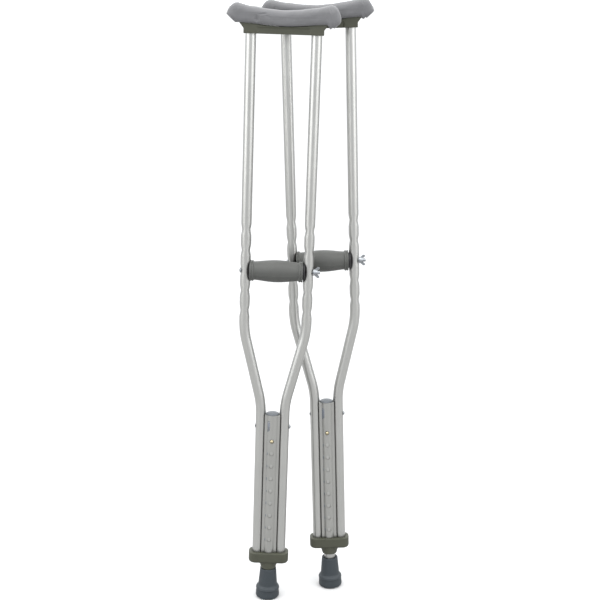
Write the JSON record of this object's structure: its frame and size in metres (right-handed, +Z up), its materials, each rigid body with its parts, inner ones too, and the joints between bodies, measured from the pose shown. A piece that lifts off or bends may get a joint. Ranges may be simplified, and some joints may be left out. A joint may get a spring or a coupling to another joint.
{
  "type": "underarm crutches",
  "caption": "Pair of push-button underarm crutches with padded tops, height-adjustable handgrips and telescopic legs on rubber tips.",
  "frame": {"origin": "on the floor, midway between the two tips", "axes": "+Z up; +X from the left crutch to the right crutch, along the handgrips, towards the wing nuts; -Y is the front, where the left crutch stands"},
  "size_m": [0.2562, 0.0928, 1.1462],
  "materials": {
    "pad_foam": "soft skinned foam rubber",
    "moulded_plastic": "fine-textured moulded plastic, olive grey",
    "tube_aluminium": "satin anodised aluminium",
    "sleeve_aluminium": "satin extruded aluminium",
    "leg_aluminium": "satin drawn aluminium",
    "cap_plastic": "smooth blue-grey plastic",
    "zinc_steel": "bright zinc plate",
    "button_brass": "yellow zinc plate",
    "spring_steel": "tempered spring steel",
    "tip_rubber": "dark slate rubber",
    "grip_rubber": "grey moulded rubber",
    "black_plastic": "black moulded plastic"
  },
  "bodies": {
    "left_frame": {"left_underarm_pad": "pad_foam", "left_saddle": "moulded_plastic", "left_bolt_side_tube": "tube_aluminium", "left_nut_side_tube": "tube_aluminium", "left_centre_sleeve": "sleeve_aluminium", "left_sleeve_cap": "cap_plastic", "left_cross_bolt": "zinc_steel", "left_cross_nut": "zinc_steel", "left_yoke": "moulded_plastic"},
    "left_leg": {"left_leg_tube": "leg_aluminium", "left_button_spring": "spring_steel", "left_rubber_tip": "tip_rubber", "left_tip_washer": "zinc_steel"},
    "left_front_button": {"left_front_button": "button_brass"},
    "left_rear_button": {"left_rear_button": "button_brass"},
    "left_grip": {"left_grip_rubber": "grip_rubber", "left_grip_core": "black_plastic", "left_bolt_side_cup": "black_plastic", "left_nut_side_cup": "black_plastic", "left_grip_bolt": "zinc_steel", "left_grip_washer": "zinc_steel"},
    "left_wing_nut": {"left_wing_nut": "zinc_steel"},
    "right_frame": {"right_underarm_pad": "pad_foam", "right_saddle": "moulded_plastic", "right_bolt_side_tube": "tube_aluminium", "right_nut_side_tube": "tube_aluminium", "right_centre_sleeve": "sleeve_aluminium", "right_sleeve_cap": "cap_plastic", "right_cross_bolt": "zinc_steel", "right_cross_nut": "zinc_steel", "right_yoke": "moulded_plastic"},
    "right_leg": {"right_leg_tube": "leg_aluminium", "right_button_spring": "spring_steel", "right_rubber_tip": "tip_rubber", "right_tip_washer": "zinc_steel"},
    "right_front_button": {"right_front_button": "button_brass"},
    "right_rear_button": {"right_rear_button": "button_brass"},
    "right_grip": {"right_grip_rubber": "grip_rubber", "right_grip_core": "black_plastic", "right_bolt_side_cup": "black_plastic", "right_nut_side_cup": "black_plastic", "right_grip_bolt": "zinc_steel", "right_grip_washer": "zinc_steel"},
    "right_wing_nut": {"right_wing_nut": "zinc_steel"}
  },
  "joints": [
    {"name": "left_leg_slide", "type": "slide", "parent": "left_frame", "child": "left_leg", "axis": [-0.0298, 0, -0.9996], "range_m": [0, 0.2032], "deforming": ["left_button_spring", "left_front_button", "left_rear_button"]},
    {"name": "left_front_button_press", "type": "slide", "parent": "left_leg", "child": "left_front_button", "axis": [0, 1, 0], "range_m": [0, 0.0046], "stiffness_N_per_m": 800, "springref_m": -0.003},
    {"name": "left_rear_button_press", "type": "slide", "parent": "left_leg", "child": "left_rear_button", "axis": [0, -1, 0], "range_m": [0, 0.0046], "stiffness_N_per_m": 800, "springref_m": -0.003},
    {"name": "left_grip_slide", "type": "slide", "parent": "left_frame", "child": "left_grip", "axis": [0.0298, 0, 0.9996], "range_m": [-0.0762, 0.0762], "deforming": ["left_grip_bolt", "left_grip_washer"]},
    {"name": "left_wing_nut_spin", "type": "hinge", "parent": "left_grip", "child": "left_wing_nut", "pos_m": [0.02694, -0.0234, 0.65417], "axis": [0.9996, 0, -0.0298], "continuous": true},
    {"name": "right_leg_slide", "type": "slide", "parent": "right_frame", "child": "right_leg", "axis": [0.0298, 0, -0.9996], "range_m": [0, 0.2032], "deforming": ["right_button_spring", "right_front_button", "right_rear_button"]},
    {"name": "right_front_button_press", "type": "slide", "parent": "right_leg", "child": "right_front_button", "axis": [0, 1, 0], "range_m": [0, 0.0046], "stiffness_N_per_m": 800, "springref_m": -0.003},
    {"name": "right_rear_button_press", "type": "slide", "parent": "right_leg", "child": "right_rear_button", "axis": [0, -1, 0], "range_m": [0, 0.0046], "stiffness_N_per_m": 800, "springref_m": -0.003},
    {"name": "right_grip_slide", "type": "slide", "parent": "right_frame", "child": "right_grip", "axis": [-0.0298, 0, 0.9996], "range_m": [-0.0762, 0.0762], "deforming": ["right_grip_bolt", "right_grip_washer"]},
    {"name": "right_wing_nut_spin", "type": "hinge", "parent": "right_grip", "child": "right_wing_nut", "pos_m": [0.11299, 0.0234, 0.66785], "axis": [0.9996, 0, 0.0298], "continuous": true},
    {"name": "crutches_apart", "type": "slide", "parent": "left_frame", "child": "right_frame", "axis": [1, 0, 0], "range_m": [0, 0.3]}
  ]
}
